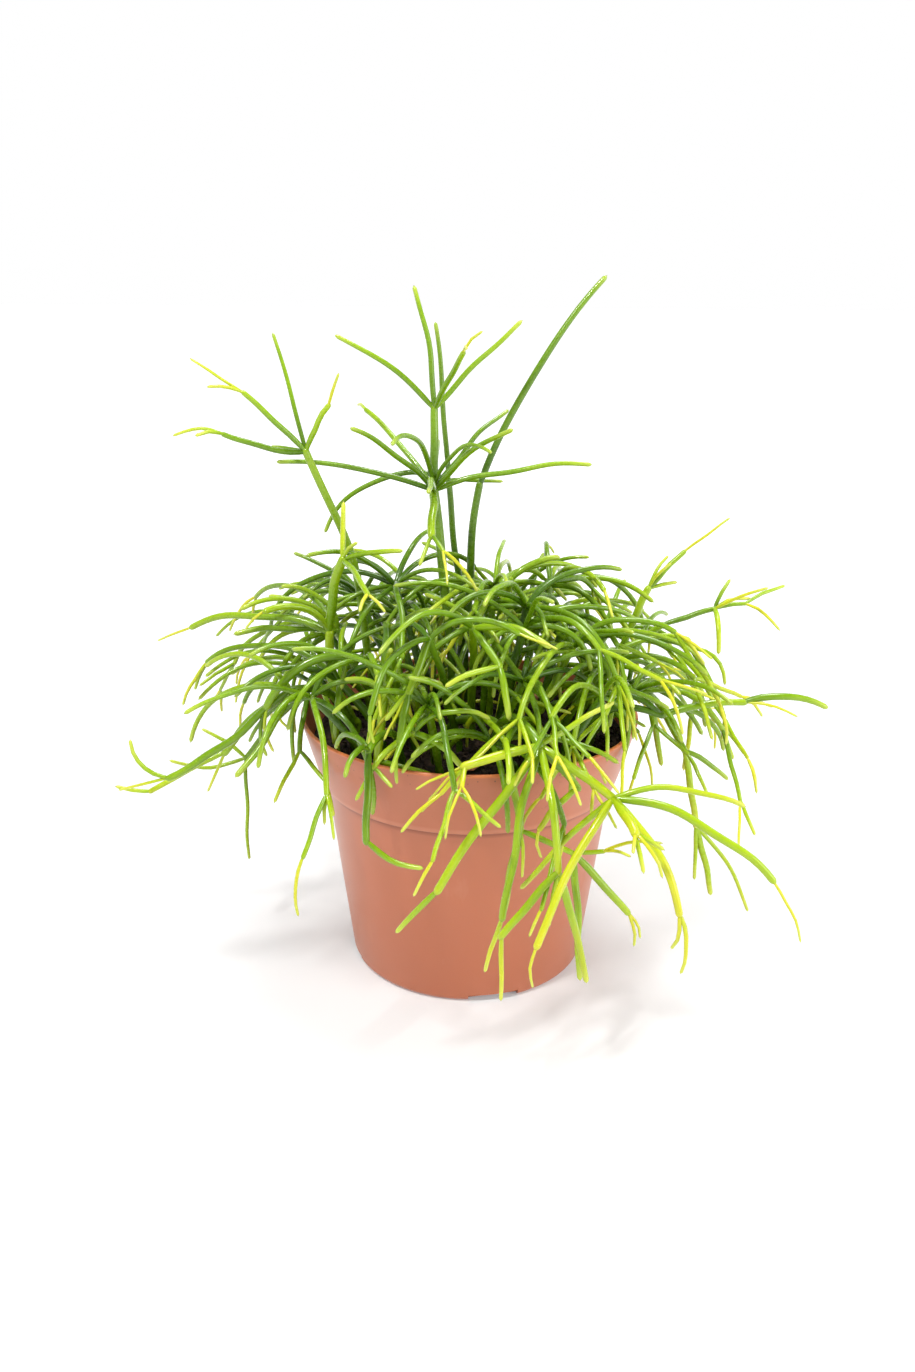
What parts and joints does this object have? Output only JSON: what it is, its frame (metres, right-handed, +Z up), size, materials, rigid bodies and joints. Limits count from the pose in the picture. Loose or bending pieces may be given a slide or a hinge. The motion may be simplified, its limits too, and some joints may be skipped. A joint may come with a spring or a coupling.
{
  "type": "potted mistletoe cactus",
  "caption": "Mistletoe cactus in a round plastic nursery pot: slender green stems branch in whorls, stand up in the middle and arch out over the rim.",
  "frame": {"origin": "centre of the flat pad under the pot, on the surface it stands on", "axes": "+Z up along the axis of the pot; -Y towards the front, where the stems hang lowest; +X to the right"},
  "size_m": [0.2333, 0.2139, 0.2407],
  "materials": {
    "terracotta_plastic": "satin",
    "peat": "matte",
    "bark": "matte",
    "mature_stem": "satin",
    "young_stem": "satin",
    "crown_stem": "satin"
  },
  "bodies": {
    "root": {"bark_chip_back": "bark", "bark_chip_front": "bark", "bark_chip_left": "bark", "pot": "terracotta_plastic", "potting_soil": "peat", "shoot_antler": "mature_stem", "shoot_bow": "mature_stem", "shoot_candelabra": "mature_stem", "shoot_cascade": "young_stem", "shoot_centre_piece": "young_stem", "shoot_crook": "young_stem", "shoot_crown_00": "crown_stem", "shoot_crown_04": "crown_stem", "shoot_crown_05": "crown_stem", "shoot_crown_08": "crown_stem", "shoot_crown_09": "crown_stem", "shoot_crown_10": "crown_stem", "shoot_crown_11": "crown_stem", "shoot_crown_13": "crown_stem", "shoot_crown_14": "crown_stem", "shoot_crown_16": "crown_stem", "shoot_crown_18": "crown_stem", "shoot_crown_22": "crown_stem", "shoot_crown_23": "crown_stem", "shoot_crown_24": "crown_stem", "shoot_crown_26": "crown_stem", "shoot_crown_27": "crown_stem", "shoot_crown_32": "crown_stem", "shoot_crown_35": "crown_stem", "shoot_crown_40": "crown_stem", "shoot_crown_44": "crown_stem", "shoot_crown_45": "crown_stem", "shoot_crown_47": "crown_stem", "shoot_crown_48": "crown_stem", "shoot_crown_49": "crown_stem", "shoot_crown_50": "crown_stem", "shoot_crown_51": "crown_stem", "shoot_crown_52": "crown_stem", "shoot_crown_53": "crown_stem", "shoot_crown_54": "crown_stem", "shoot_crown_55": "crown_stem", "shoot_crown_56": "crown_stem", "shoot_elbow": "young_stem", "shoot_flag": "mature_stem", "shoot_fork": "young_stem", "shoot_front_loop": "young_stem", "shoot_horizon": "young_stem", "shoot_left_fan": "mature_stem", "shoot_long_arc": "young_stem", "shoot_low_sweep": "mature_stem", "shoot_mast": "mature_stem", "shoot_pale_fork": "young_stem", "shoot_perch": "mature_stem", "shoot_right_hanger": "mature_stem", "shoot_rosette": "young_stem", "shoot_slim_mast": "mature_stem", "shoot_tall_wand": "mature_stem", "shoot_trailing_left": "mature_stem", "shoot_wishbone": "young_stem"}
  },
  "joints": []
}
